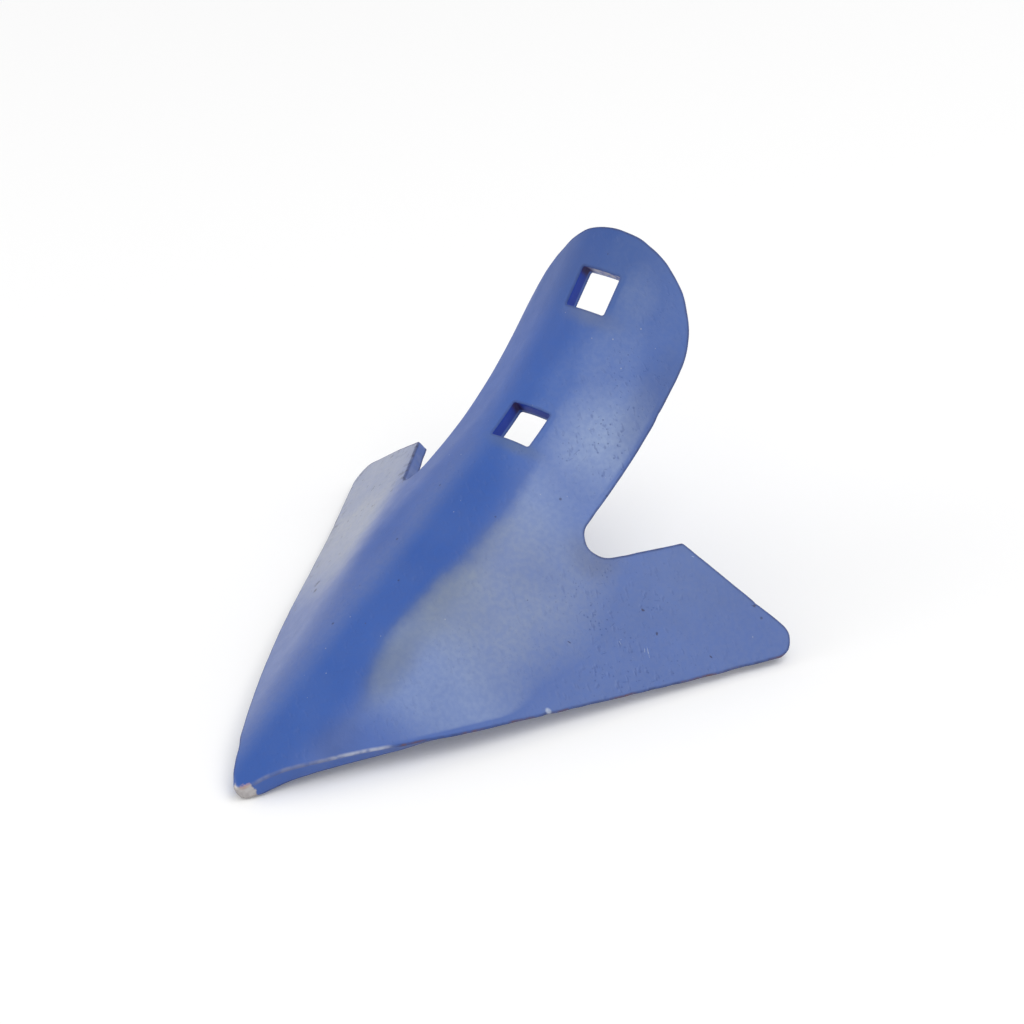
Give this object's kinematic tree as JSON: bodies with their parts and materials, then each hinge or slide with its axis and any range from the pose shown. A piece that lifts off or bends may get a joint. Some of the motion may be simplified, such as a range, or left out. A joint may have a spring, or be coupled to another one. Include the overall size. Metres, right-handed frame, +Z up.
{
  "type": "cultivator sweep",
  "caption": "Pressed steel cultivator sweep in blue paint: swept wings, a rounded ridge from the nose, and a curved stem with square bolt holes.",
  "frame": {"origin": "middle of the part's footprint, on the surface that the nose and the wing tips rest on", "axes": "+Y from the nose back towards the stem, +Z up, X across the wings"},
  "size_m": [0.1626, 0.174, 0.1017],
  "materials": {
    "blue_paint": "satin, worn"
  },
  "bodies": {
    "root": {"sweep": "blue_paint"}
  },
  "joints": []
}
